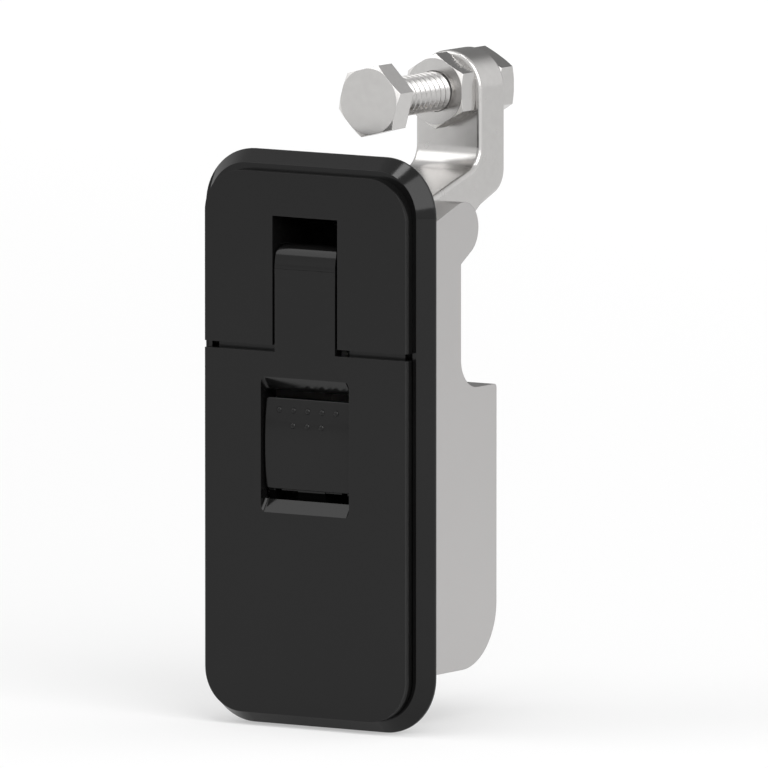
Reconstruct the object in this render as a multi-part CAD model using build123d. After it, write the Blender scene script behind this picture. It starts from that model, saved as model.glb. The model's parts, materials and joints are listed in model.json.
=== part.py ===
from build123d import *
import math
import os

# Flush lever latch with a trigger release and an adjustable grip bolt.
# Millimetres. X runs to the right as seen from the front, Y into the panel, Z up.
# The origin is the centre of the flange's back face, which seats on the panel.

# ---- flange ----
FLANGE_WIDTH = 54.0
FLANGE_HEIGHT = 114.0
FLANGE_CORNER_R = 11.5
FLANGE_EDGE = 0.5           # square edge left at the panel
CHAMFER_DEPTH = 2.93        # how far the bevelled rim stands out beyond that edge
CHAMFER_WIDTH = 2.5         # how far the bevel leans in
LEDGE_SIDE = 0.9            # flat rim left beside the cover and the lever
LEDGE_TOP = 1.3
LEDGE_BOTTOM = 0.15

# ---- raised cover and lever ----
RAISED_DEPTH = 2.64         # how far they stand out from the rim
RAISED_CORNER_R = 8.5
COVER_BOTTOM = 18.95        # height of the cover's lower edge
SHOULDER_GAP = 1.35         # between the cover and the lever's shoulders
SKIRT_INSET = 0.3
SKIRT_WALL = 1.1
SKIRT_DEPTH = 1.15          # reach of the lever's skirt into the channel
CHANNEL_DEPTH = 1.55
CHANNEL_SLACK = 0.3
LEVER_REST_GAP = 0.25       # between the lever's back and the flange
SKIRT_RELIEF = 1.7          # the side skirts stop short of the shoulder by this much
BEZEL_POCKET_DEPTH = 1.3    # room behind the lever for its ribs
LEVER_RIB_HEIGHT = 1.2
LEVER_RIB_WIDTH = 1.6
LEVER_RIB_PITCH = 8.0
LEVER_RIBS = 4

# ---- tongue and its pivot ----
LEVER_PIVOT_Y = 1.0
LEVER_PIVOT_Z = 31.2
TONGUE_WIDTH = 14.16
TONGUE_GAP = 0.57           # each side, in the cover's slot
TONGUE_TOP_SLOPE = 13.0     # degrees, from the hub's crest down to the nose
TONGUE_NOSE_R = 3.3
COVER_SLOT_TOP = 44.6
HUB_GAP = 0.5               # round the tongue's hub in the flange and the housing
RECESS_TOP = 44.2           # room over the tongue's hub, under a hood inside the housing
RECESS_BACK = 9.2
RECESS_LOW = 33.2           # the wall behind the hub ends here, above the swinging link
RECESS_ROUND = 7.5
RECESS_WALL = 1.8
RECESS_CLEARANCE = 0.1      # between that wall and the housing
BEZEL_SLOT_GAP = 0.75       # extra width of the flange's slot, each side
BEZEL_SLOT_BOTTOM = 15.5
LEVER_PIN_R = 2.5
PIN_SLACK = 0.05            # radial running clearance of every pivot
PIVOT_BOSS_R = 5.0
PIVOT_BOSS_WALL = 5.0
CLIP_THICKNESS = 0.7
CLIP_R = 3.5
CLIP_GROOVE_DEPTH = 0.6
PIN_TAIL = 0.8

# ---- linkage ----
CAM_PIVOT_Y = 20.5
CAM_PIVOT_Z = 41.1
CRANK_LENGTH = 9.0
CRANK_ANGLE = -35.0         # from the pivots to the link pins, with the latch closed
LINK_PIN_R = 2.0
LINK_EYE_R = 3.7
LINK_WIDTH = 5.0
LINK_GAP = 0.35             # between the link and the cheeks beside it
LINK_WAIST = 4.0
LEVER_SWING = 78.0          # degrees the lever opens by
CRANK_EYE_R = 4.0

# ---- window and trigger ----
WINDOW_WIDTH = 20.8
WINDOW_TOP = 12.6
WINDOW_BOTTOM = -14.3
WINDOW_BEVEL_R = 0.95       # between each bevel and the window's sides
WINDOW_INNER_R = 0.6
TOP_BEVEL_HEIGHT = 2.65
TOP_BEVEL_DEPTH = 2.1
BOTTOM_BEVEL_HEIGHT = 2.5
BOTTOM_BEVEL_DEPTH = 1.8
TRIGGER_SIDE_GAP = 0.35
TRIGGER_TOP = 8.45
TRIGGER_BOTTOM = -9.65
TRIGGER_RECESS = 0.72       # crown of the trigger behind the lever's face
TRIGGER_CROWN = 0.55        # how far the pad bulges
TRIGGER_WALL = 1.7
TRIGGER_CORNER_R = 0.7
TRIGGER_EDGE_R = 0.25
TRIGGER_RIB = 1.5
TRIGGER_WEB_FOOT = 2.6      # depth of the side webs at their foot and at their top
TRIGGER_WEB_HEAD = 1.4
TRIGGER_STEM_R = 1.0
TRIGGER_PIVOT_Y = -0.5
TRIGGER_PIVOT_Z = -14.6
TRIGGER_PIN_R = 1.25
TRIGGER_HUB_R = 2.3
TRIGGER_LIP = 0.7           # thin lip under the pad
TRIGGER_LIP_DROP = 0.4
TRIGGER_LIP_HALF = 7.1
LUG_WALL = 2.4
LUG_R = 2.9
EAR_WIDTH = 1.6             # stops that rest behind the lever
EAR_THICKNESS = 1.3
EAR_TOP = -3.0
EAR_BOTTOM = -7.0
EAR_GAP = 0.15
DOT_R = 0.55
DOT_HEIGHT = 0.35
DOT_PITCH = 3.345
DOT_ROW_Z = 6.1
DOT_ROW_PITCH = 3.0
OPENING_GAP = 0.7           # around the trigger, its lugs and its spring in the flange

# ---- catch ----
CATCH_Y = 5.0
CATCH_Z = -9.5
CATCH_R = 1.4
CATCH_GAP = 0.25            # between the hook and the catch pin at rest
HOOK_BITE = 1.05            # how far the hook reaches up behind the pin
HOOK_WALL = 1.7
HOOK_WIDTH = 6.4
HOOK_ARM = 3.0

# ---- trigger spring ----
SPRING_WIRE_R = 0.35
SPRING_WIRE_SIDES = 6       # the wire is drawn with flats, to keep its surface light
SPRING_COIL_R = 1.95        # to the middle of the wire
SPRING_TURNS = 3.5
SPRING_PITCH = 0.85
SPRING_LEG = 4.6
SPRING_NOTCH_LEFT = 4.4
SPRING_NOTCH_WIDTH = 4.4

# ---- housing ----
HOUSING_WIDTH = 40.0
HOUSING_WALL = 2.5
HOUSING_RISE = 10.55        # from the flange's bottom edge to the housing's
HOUSING_STUD_GAP = 0.5      # left between the housing and the studs beside it
HOUSING_BACK = 32.5
HOUSING_HEEL_R = 12.5       # round at the bottom of the back
SHELF_Z = 9.35
NECK_BACK = 19.6            # back of the slimmer upper part
NECK_FILLET_R = 6.0
NECK_TOP = 34.8
LUG_TOP_R = 5.4             # round of the lug about the cam pivot
TOP_SLOPE = 18.7            # degrees, the top face rises towards the back
BACK_EDGE_R = 0.8
CAM_SLOT_GAP = 0.65         # each side of the cam
CAM_SLOT_FRONT = 13.4
CAM_SLOT_FLOOR = 23.0
BACK_PANEL_TOP = -14.5      # shallow recess in the back
BACK_PANEL_RISE = 12.45     # from the housing's bottom to that recess
BACK_PANEL_DEPTH = 0.5
BACK_PANEL_MARGIN = 4.0

# ---- cam ----
CAM_WIDTH = 15.5
CAM_FRONT = 45.6
CAM_THICKNESS = 9.0
CAM_HUB_R = 5.2
CAM_PIN_R = 2.5
CAM_PIN_HEAD_R = 3.6
CAM_PIN_HEAD = 1.6
CAM_PIN_BLIND_WALL = 2.0
CAM_ARM_TOP_SLOPE = 16.6    # degrees
CAM_ARM_LOW_SLOPE = 21.2
CAM_ARM_TOP_Z = 51.1        # top of the arm, carried on to the upright's front face
CAM_ARM_LOW_Z = 46.1        # bottom of the arm, carried on to the upright's back face
CAM_ARM_ROOT = 3.0          # how far the arm's top line runs on into the hub
CAM_SHOULDER = (2.0, 5.0)   # from the link pin to the middle of the swelling behind it
CAM_SHOULDER_R = 4.0
CAM_HEEL_R = 2.0
CAM_INNER_BEND_R = 4.5
CAM_OUTER_BEND_R = 5.0
CAM_EDGE_R = 0.9
WASHER_THICKNESS = 0.5
WASHER_R = 4.9

# ---- grip bolt ----
BOLT_Z = 65.6
BOLT_R = 4.0
BOLT_LENGTH = 40.0
BOLT_HEAD_HEIGHT = 5.3
HEX_ACROSS_FLATS = 13.0
HEX_CHAMFER = 0.9
HEX_CHAMFER_DEPTH = 0.5
BOLT_HEAD_FRONT = 16.8
BOLT_HEAD_TURN = 14.4       # degrees
NUT_THICKNESS = 5.0
NUT_TURN = 30.0
BOLT_HOLE_GAP = 0.2
BOLT_TIP_CHAMFER = 0.8

# ---- fasteners ----
SCREW_R = 1.75
SCREW_HEAD_R = 3.3
SCREW_LENGTH = 12.0
SCREW_BOSS_BLEND = 0.3      # how far each boss sinks into the housing's side wall
SCREW_TOP_Z = 14.0
SCREW_RISE = 8.45           # from the housing's bottom to its lower screws
SCREW_BOSS_R = 3.5
SCREW_BOSS_DEPTH = 12.5
DRIVE_R = 1.1
DRIVE_DEPTH = 1.0
COVER_SCREW_R = 1.25
COVER_SCREW_HEAD_R = 2.6
COVER_SCREW_BITE = 2.1      # thread in the cover
COVER_SCREW_SIDE = 5.0      # from the cover's side to its upper screws
COVER_SCREW_DROP = 8.2      # from the cover's top to its upper screws
COVER_SCREW_RISE = 3.85     # from the cover's bottom to its lower screws
COVER_SCREW_WALL = 1.55     # between the lower screws' heads and the tongue's slot
STUD_R = 2.0
STUD_LENGTH = 12.0
STUD_COLLAR_R = 2.6
STUD_COLLAR = 1.3
STUD_X = 13.0
STUD_WALL = 0.5             # flange left between a stud's collar and the seal
STUD_TIP_CHAMFER = 0.5

# ---- gasket ----
GASKET_INSET = 1.2
GASKET_WIDTH = 1.8
GASKET_DEPTH = 1.0

# ---- sizes worked out from those above ----
RIM_Y = -(FLANGE_EDGE + CHAMFER_DEPTH)
FACE_Y = RIM_Y - RAISED_DEPTH
LEVER_BACK = RIM_Y - LEVER_REST_GAP
RAISED_HALF_WIDTH = FLANGE_WIDTH / 2 - CHAMFER_WIDTH - LEDGE_SIDE
RAISED_TOP = FLANGE_HEIGHT / 2 - CHAMFER_WIDTH - LEDGE_TOP
RAISED_BOTTOM = -(FLANGE_HEIGHT / 2 - CHAMFER_WIDTH - LEDGE_BOTTOM)
SHOULDER_Z = COVER_BOTTOM - SHOULDER_GAP
COVER_SLOT_WIDTH = TONGUE_WIDTH + 2 * TONGUE_GAP
BEZEL_SLOT_WIDTH = COVER_SLOT_WIDTH + 2 * BEZEL_SLOT_GAP
TONGUE_R = LEVER_PIVOT_Y - FACE_Y
CRANK_Y = CRANK_LENGTH * math.cos(math.radians(CRANK_ANGLE))
CRANK_Z = CRANK_LENGTH * math.sin(math.radians(CRANK_ANGLE))
LEVER_PIVOT = (LEVER_PIVOT_Y, LEVER_PIVOT_Z)
CAM_PIVOT = (CAM_PIVOT_Y, CAM_PIVOT_Z)
LEVER_LINK_PIN = (LEVER_PIVOT_Y + CRANK_Y, LEVER_PIVOT_Z + CRANK_Z)
CAM_LINK_PIN = (CAM_PIVOT_Y + CRANK_Y, CAM_PIVOT_Z + CRANK_Z)
TRIGGER_PIVOT = (TRIGGER_PIVOT_Y, TRIGGER_PIVOT_Z)
LINK_SLOT_WIDTH = LINK_WIDTH + 2 * LINK_GAP
BOSS_IN = BEZEL_SLOT_WIDTH / 2
BOSS_OUT = BOSS_IN + PIVOT_BOSS_WALL
TRIGGER_HALF_WIDTH = WINDOW_WIDTH / 2 - TRIGGER_SIDE_GAP
LUG_IN = TRIGGER_HALF_WIDTH + TRIGGER_SIDE_GAP
LUG_OUT = LUG_IN + LUG_WALL
CAM_SLOT_WIDTH = CAM_WIDTH + 2 * CAM_SLOT_GAP
CAM_BACK = CAM_FRONT + CAM_THICKNESS
HEX_R = HEX_ACROSS_FLATS / 2 / math.cos(math.radians(30))
BOLT_SEAT = BOLT_HEAD_FRONT + BOLT_HEAD_HEIGHT
HOUSING_TOP_LUG = (CAM_PIVOT_Y - LUG_TOP_R * math.sin(math.radians(TOP_SLOPE)),
                   CAM_PIVOT_Z + LUG_TOP_R * math.cos(math.radians(TOP_SLOPE)))
HOUSING_TOP_FRONT = HOUSING_TOP_LUG[1] - HOUSING_TOP_LUG[0] * math.tan(math.radians(TOP_SLOPE))
HOUSING_BOTTOM = -FLANGE_HEIGHT / 2 + HOUSING_RISE
BACK_PANEL_BOTTOM = HOUSING_BOTTOM + BACK_PANEL_RISE
SCREW_BOTTOM_Z = HOUSING_BOTTOM + SCREW_RISE
SCREW_X = HOUSING_WIDTH / 2 - HOUSING_WALL - SCREW_BOSS_R + SCREW_BOSS_BLEND
SCREW_PLACES = [(side * SCREW_X, z) for side in (-1, 1) for z in (SCREW_TOP_Z, SCREW_BOTTOM_Z)]
COVER_SCREW_LOW_X = BOSS_IN + COVER_SCREW_WALL + COVER_SCREW_HEAD_R
COVER_SCREW_PLACES = [(side * x, z) for side in (-1, 1)
                      for x, z in ((COVER_SCREW_LOW_X, COVER_BOTTOM + COVER_SCREW_RISE),
                                   (RAISED_HALF_WIDTH - COVER_SCREW_SIDE, RAISED_TOP - COVER_SCREW_DROP))]
STUD_Z = FLANGE_HEIGHT / 2 - GASKET_INSET - GASKET_WIDTH - STUD_WALL - STUD_COLLAR_R
STUD_PLACES = [(side * STUD_X, end * STUD_Z) for side in (-1, 1) for end in (-1, 1)]


# ---- ways to draw ----
def front_plane(y):
    """Sketch plane seen from the front: its x is X, its y is Z, and it faces the user."""
    return Plane(origin=(0, y, 0), x_dir=(1, 0, 0), z_dir=(0, -1, 0))


def slab(outline, front, back):
    """Outline in X and Z, extruded between two depths."""
    return extrude(front_plane(back) * outline, amount=back - front)


def plate(profile, left, right):
    """Profile in Y and Z, extruded between two places along X."""
    base = Plane(origin=(left, 0, 0), x_dir=(0, 1, 0), z_dir=(1, 0, 0))
    return extrude(base * profile, amount=right - left)


def outline_of(corners):
    """Closed outline through (a, b, radius) corners."""
    points = [(a, b) for a, b, _ in corners]
    radii = [radius for _, _, radius in corners]
    return make_face(FilletPolyline(*points, radius=radii, close=True))


def box_outline(left, right, low, high, radius=0.0):
    return outline_of([(left, low, radius), (right, low, radius),
                       (right, high, radius), (left, high, radius)])


def disc(place, radius):
    return Pos(place[0], place[1]) * Circle(radius)


def bar_between(start, end, start_r, end_r):
    """Outline round two discs and what lies between them."""
    return make_hull(disc(start, start_r).edges() + disc(end, end_r).edges())


def rod(place, radius, left, right):
    """Cylinder along X through a (Y, Z) place."""
    return plate(disc(place, radius), left, right)


def bolt_like(place, steps):
    """Solid of revolution along Y at an (X, Z) place, from (radius, depth) steps."""
    points = [(0, steps[0][1])] + steps + [(0, steps[-1][1])]
    half = make_face(Polyline(*points, close=True))
    return Pos(place[0], 0, place[1]) * revolve(half, Axis.Y)


def both_sides(solid):
    return solid + mirror(solid, about=Plane.YZ)


def raised_outline(low, high, inset, low_r, high_r):
    """Outline of the cover or the lever, taken in all round by inset."""
    half = RAISED_HALF_WIDTH - inset
    return outline_of([(-half, low, low_r), (half, low, low_r),
                       (half, high, high_r), (-half, high, high_r)])


# ---- flange ----
def flange_body():
    edge = RectangleRounded(FLANGE_WIDTH, FLANGE_HEIGHT, FLANGE_CORNER_R)
    lean = math.degrees(math.atan(CHAMFER_WIDTH / CHAMFER_DEPTH))
    rim = extrude(front_plane(-FLANGE_EDGE) * edge, amount=CHAMFER_DEPTH, taper=lean)
    return slab(edge, -FLANGE_EDGE, 0) + rim


def channel_outline(inset):
    """The channel follows the cover and the lever together."""
    corner = RAISED_CORNER_R - inset
    return raised_outline(RAISED_BOTTOM + inset, RAISED_TOP - inset, inset, corner, corner)


def trigger_opening():
    """Hole in the flange for the trigger, its lugs and its hook."""
    low = TRIGGER_PIVOT_Z - SPRING_COIL_R - SPRING_LEG - OPENING_GAP
    wide = LUG_OUT + OPENING_GAP
    narrow = TRIGGER_HALF_WIDTH + OPENING_GAP
    top = TRIGGER_TOP + EAR_WIDTH + OPENING_GAP
    return (box_outline(-wide, wide, low, EAR_TOP + 2 * OPENING_GAP, OPENING_GAP)
            + box_outline(-narrow, narrow, low, top, OPENING_GAP))


def rib_pocket():
    """Recess in the flange's face that clears the ribs on the lever's back."""
    half = RAISED_HALF_WIDTH - SKIRT_INSET - SKIRT_WALL - 3 * CHANNEL_SLACK - 1.0
    low = SCREW_BOTTOM_Z + SCREW_HEAD_R + 1.0
    high = TRIGGER_PIVOT_Z - SPRING_COIL_R - SPRING_LEG - 3 * OPENING_GAP
    return box_outline(-half, half, low, high, 2.0)


def pivot_boss():
    """Boss behind the flange that holds one end of the lever pin."""
    low = LEVER_PIVOT_Z - PIVOT_BOSS_R
    high = LEVER_PIVOT_Z + PIVOT_BOSS_R
    foot = box_outline(-0.01, LEVER_PIVOT_Y, low, high)
    proud = box_outline(RIM_Y - PIVOT_BOSS_R, RIM_Y, low, high)
    return plate(foot + disc(LEVER_PIVOT, PIVOT_BOSS_R) - proud, BOSS_IN, BOSS_OUT)


def recess_profile(wall):
    """Side view of the room over the tongue's hub, grown by a wall."""
    back = RECESS_BACK + wall
    top = RECESS_TOP + wall
    return outline_of([(0, RECESS_LOW, 0), (back, RECESS_LOW, 0),
                       (back, top, RECESS_ROUND + wall), (0, top, 0)])


def tongue_recess(clearance):
    """Domed hood over the tongue's hub, which stands on the flange's back between its bosses."""
    grown = RECESS_WALL + clearance
    half = COVER_SLOT_WIDTH / 2 + grown
    boss_top = LEVER_PIVOT_Z + PIVOT_BOSS_R + HUB_GAP
    front = box_outline(-1, LEVER_PIVOT_Y + PIVOT_BOSS_R + HUB_GAP, 0, boss_top)
    return plate(recess_profile(grown) - front, -half, half)


def screw_seat(place, shank_r, head_r, face, towards_back):
    """Cutter for a countersunk hole whose head lies flush with the given face."""
    step = 1 if towards_back else -1
    cone = head_r - shank_r
    far = face + step * 20
    steps = [(head_r, face), (shank_r, face + step * cone), (shank_r, far)]
    return bolt_like(place, steps)


def bezel_frame():
    body = flange_body()
    channel = channel_outline(SKIRT_INSET - CHANNEL_SLACK)
    inner = channel_outline(SKIRT_INSET + SKIRT_WALL + CHANNEL_SLACK)
    body -= slab(channel - inner, RIM_Y - 1, RIM_Y + CHANNEL_DEPTH)
    body -= slab(rib_pocket(), RIM_Y - 1, RIM_Y + BEZEL_POCKET_DEPTH)
    body -= slab(trigger_opening(), RIM_Y - 1, 1)
    body += both_sides(pivot_boss())
    slot_top = LEVER_PIVOT_Z + TONGUE_R + HUB_GAP
    body -= slab(box_outline(-BOSS_IN, BOSS_IN, BEZEL_SLOT_BOTTOM, slot_top), RIM_Y - 1, 1)
    half = COVER_SLOT_WIDTH / 2
    body += tongue_recess(0)
    body -= slab(box_outline(-half, half, BEZEL_SLOT_BOTTOM, RECESS_TOP), RIM_Y - 1, 1)
    body -= plate(recess_profile(0), -half, half)
    clip_end = BOSS_OUT + CLIP_THICKNESS + PIN_TAIL + CHANNEL_SLACK
    body -= rod(LEVER_PIVOT, LEVER_PIN_R, -clip_end, clip_end)
    body -= both_sides(rod(LEVER_PIVOT, CLIP_R + CHANNEL_SLACK, BOSS_OUT, clip_end))
    for place in SCREW_PLACES:
        body -= screw_seat(place, SCREW_R + PIN_SLACK, SCREW_HEAD_R, RIM_Y, True)
    for place in COVER_SCREW_PLACES:
        body -= screw_seat(place, COVER_SCREW_R + PIN_SLACK, COVER_SCREW_HEAD_R, 0, False)
    for place in STUD_PLACES:
        body -= bolt_like(place, [(STUD_COLLAR_R, -STUD_COLLAR), (STUD_COLLAR_R, 1)])
    return body - gasket_ring()


def gasket_ring():
    def loop(inset):
        return RectangleRounded(FLANGE_WIDTH - 2 * inset, FLANGE_HEIGHT - 2 * inset,
                                FLANGE_CORNER_R - inset)
    return slab(loop(GASKET_INSET) - loop(GASKET_INSET + GASKET_WIDTH), -GASKET_DEPTH, 0)


# ---- cover ----
def upper_cover():
    face = raised_outline(COVER_BOTTOM, RAISED_TOP, 0, 0, RAISED_CORNER_R)
    body = slab(face, FACE_Y, RIM_Y)
    outer = raised_outline(COVER_BOTTOM, RAISED_TOP - SKIRT_INSET, SKIRT_INSET, 0,
                           RAISED_CORNER_R - SKIRT_INSET)
    inset = SKIRT_INSET + SKIRT_WALL
    inner = raised_outline(COVER_BOTTOM - 1, RAISED_TOP - inset, inset, 0, RAISED_CORNER_R - inset)
    body += slab(outer - inner, RIM_Y, RIM_Y + SKIRT_DEPTH)
    half = COVER_SLOT_WIDTH / 2
    body -= slab(box_outline(-half, half, COVER_BOTTOM - 1, COVER_SLOT_TOP), FACE_Y - 1, RIM_Y + 2)
    for place in COVER_SCREW_PLACES:
        body -= bolt_like(place, [(COVER_SCREW_R, RIM_Y - COVER_SCREW_BITE), (COVER_SCREW_R, RIM_Y + 1)])
    return body


# ---- lever ----
def window_bevel(edge, rise, depth):
    """Wedge whose long slope runs from an edge of the window, at the face, into the window."""
    half = WINDOW_WIDTH / 2
    front = FACE_Y - 1.0
    start = edge - rise / depth
    wedge = plate(outline_of([(front, start, 0), (FACE_Y + depth, edge + rise, 0),
                              (front, edge + 2 * rise, 0)]), -half, half)
    middle = (start + edge + rise) / 2
    slopes = [e for e in wedge.edges()
              if abs(e.center().X) > half - 0.01 and abs(e.center().Z - middle) < 0.01]
    return fillet(slopes, WINDOW_BEVEL_R)


def window_bevels():
    """Cutter that opens the window and bevels its top and bottom for the fingertip."""
    half = WINDOW_WIDTH / 2
    hole = box_outline(-half, half, WINDOW_BOTTOM + BOTTOM_BEVEL_HEIGHT, WINDOW_TOP - TOP_BEVEL_HEIGHT,
                       WINDOW_INNER_R)
    return (slab(hole, FACE_Y - 1, LEVER_BACK + 1)
            + window_bevel(WINDOW_TOP, -TOP_BEVEL_HEIGHT, TOP_BEVEL_DEPTH)
            + window_bevel(WINDOW_BOTTOM, BOTTOM_BEVEL_HEIGHT, BOTTOM_BEVEL_DEPTH))


def lever_plate():
    face = raised_outline(RAISED_BOTTOM, SHOULDER_Z, 0, RAISED_CORNER_R, 0)
    tongue_half = TONGUE_WIDTH / 2
    face += box_outline(-tongue_half, tongue_half, SHOULDER_Z - 1, LEVER_PIVOT_Z)
    return slab(face, FACE_Y, LEVER_BACK)


def lever_skirt():
    top = SHOULDER_Z - SKIRT_RELIEF
    outer = raised_outline(RAISED_BOTTOM + SKIRT_INSET, top, SKIRT_INSET, RAISED_CORNER_R - SKIRT_INSET, 0)
    inset = SKIRT_INSET + SKIRT_WALL
    inner = raised_outline(RAISED_BOTTOM + inset, top + 1, inset, RAISED_CORNER_R - inset, 0)
    return slab(outer - inner, LEVER_BACK, RIM_Y + SKIRT_DEPTH)


def lever_ribs():
    low = SCREW_BOTTOM_Z + SCREW_HEAD_R + 1.0 + CHANNEL_SLACK
    high = TRIGGER_PIVOT_Z - SPRING_COIL_R - SPRING_LEG - 3 * OPENING_GAP - CHANNEL_SLACK
    outline = None
    for place in range(LEVER_RIBS):
        x = (place - (LEVER_RIBS - 1) / 2) * LEVER_RIB_PITCH
        rib = box_outline(x - LEVER_RIB_WIDTH / 2, x + LEVER_RIB_WIDTH / 2, low, high)
        outline = rib if outline is None else outline + rib
    return slab(outline, LEVER_BACK, LEVER_BACK + LEVER_RIB_HEIGHT)


def tongue_nose():
    """Side view of what fills the corner between the tongue's face and its hub's crest."""
    slope = math.radians(TONGUE_TOP_SLOPE)
    crest = (LEVER_PIVOT_Y - TONGUE_R * math.sin(slope), LEVER_PIVOT_Z + TONGUE_R * math.cos(slope))
    corner = crest[1] - (crest[0] - FACE_Y) * math.tan(slope)
    return outline_of([(*LEVER_PIVOT, 0), (FACE_Y, LEVER_PIVOT_Z, 0), (FACE_Y, corner, TONGUE_NOSE_R),
                       (*crest, 0)])


def lever_crank():
    """Hub about the lever pin, and the forked crank that pulls the link."""
    half = TONGUE_WIDTH / 2
    hub = rod(LEVER_PIVOT, TONGUE_R, -half, half) + plate(tongue_nose(), -half, half)
    arm = plate(bar_between(LEVER_PIVOT, LEVER_LINK_PIN, CRANK_EYE_R, CRANK_EYE_R), -half, half)
    return hub + arm - link_room(LEVER_LINK_PIN, link_angle())


def link_angle():
    """Slope of the link, which stays parallel to the line between the two pivots."""
    return math.degrees(math.atan2(CAM_PIVOT_Z - LEVER_PIVOT_Z, CAM_PIVOT_Y - LEVER_PIVOT_Y))


def link_room(pin, start_angle):
    """Slot that the link swings in about one of its pins, with the latch shut to open."""
    eye = LINK_EYE_R + LINK_GAP
    bar = LINK_WAIST / 2 + LINK_GAP
    shape = disc(pin, eye)
    ends = []
    for step in range(3):
        angle = math.radians(start_angle + step * LEVER_SWING / 2)
        ends.append((pin[0] + 4 * eye * math.cos(angle), pin[1] + 4 * eye * math.sin(angle)))
        shape += bar_between(pin, ends[-1], bar, bar)
    shape += make_face(Polyline(pin, *ends, close=True))
    return plate(shape, -LINK_SLOT_WIDTH / 2, LINK_SLOT_WIDTH / 2)


def lever_lugs():
    foot = box_outline(LEVER_BACK, TRIGGER_PIVOT_Y, TRIGGER_PIVOT_Z - LUG_R, TRIGGER_PIVOT_Z + LUG_R)
    return both_sides(plate(foot + disc(TRIGGER_PIVOT, LUG_R), LUG_IN, LUG_OUT))


def lever():
    body = lever_plate() + lever_skirt() + lever_ribs() + lever_crank() + lever_lugs()
    body -= window_bevels()
    body -= rod(LEVER_PIVOT, LEVER_PIN_R + PIN_SLACK, -TONGUE_WIDTH, TONGUE_WIDTH)
    body -= rod(LEVER_LINK_PIN, LINK_PIN_R, -TONGUE_WIDTH, TONGUE_WIDTH)
    return body - rod(TRIGGER_PIVOT, TRIGGER_PIN_R, -2 * LUG_OUT, 2 * LUG_OUT)


# ---- trigger ----
def trigger_pad_profile():
    """Curved pad in Y and Z."""
    middle = (TRIGGER_TOP + TRIGGER_BOTTOM) / 2
    crown = FACE_Y + TRIGGER_RECESS
    edge = crown + TRIGGER_CROWN
    front = ThreePointArc((edge, TRIGGER_BOTTOM), (crown, middle), (edge, TRIGGER_TOP))
    back = ThreePointArc((edge + TRIGGER_WALL, TRIGGER_TOP), (crown + TRIGGER_WALL, middle),
                         (edge + TRIGGER_WALL, TRIGGER_BOTTOM))
    ends = [Line(front @ 1, back @ 0), Line(back @ 1, front @ 0)]
    return make_face([front, ends[0], back, ends[1]])


def trigger_web_profile():
    """Side web between the pad and the hub."""
    inside = FACE_Y + TRIGGER_RECESS + TRIGGER_CROWN + TRIGGER_WALL / 2
    start = (inside + TRIGGER_STEM_R, TRIGGER_BOTTOM + TRIGGER_STEM_R)
    stem = bar_between(start, TRIGGER_PIVOT, TRIGGER_STEM_R, TRIGGER_HUB_R)
    top = TRIGGER_TOP - TRIGGER_CORNER_R
    return stem + outline_of([(inside, TRIGGER_BOTTOM, 0), (inside + TRIGGER_WEB_FOOT, TRIGGER_BOTTOM, 0),
                              (inside + TRIGGER_WEB_HEAD, top, 0), (inside, top, 0)])


def trigger_hook_profile():
    """Arm under the catch pin, with a nose that rises behind it."""
    front = CATCH_Y + CATCH_R + CATCH_GAP
    top = CATCH_Z - CATCH_R + HOOK_BITE
    arm_top = CATCH_Z - CATCH_R - CATCH_GAP
    arm_low = arm_top - HOOK_ARM
    return outline_of([(TRIGGER_PIVOT_Y, arm_low, 0), (front + HOOK_WALL, arm_low, 1.0),
                       (front + HOOK_WALL, arm_top, 0.6), (front + 0.7, top, 0.25), (front, top, 0.2),
                       (front, arm_top, 0), (TRIGGER_PIVOT_Y, arm_top, 0)])


def trigger_dots():
    """Row of five raised dots over a row of three."""
    crown = FACE_Y + TRIGGER_RECESS
    half = (TRIGGER_TOP - TRIGGER_BOTTOM) / 2
    pad_r = (half ** 2 + TRIGGER_CROWN ** 2) / (2 * TRIGGER_CROWN)
    middle = (TRIGGER_TOP + TRIGGER_BOTTOM) / 2
    ball_r = (DOT_R ** 2 + DOT_HEIGHT ** 2) / (2 * DOT_HEIGHT)
    dots = None
    for row, count in ((0, 5), (1, 3)):
        z = DOT_ROW_Z - row * DOT_ROW_PITCH
        surface = crown + pad_r - math.sqrt(pad_r ** 2 - (z - middle) ** 2)
        for place in range(count):
            x = (place - (count - 1) / 2) * DOT_PITCH
            dot = Pos(x, surface - DOT_HEIGHT + ball_r, z) * Sphere(ball_r)
            dots = dot if dots is None else dots + dot
    return dots


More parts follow.
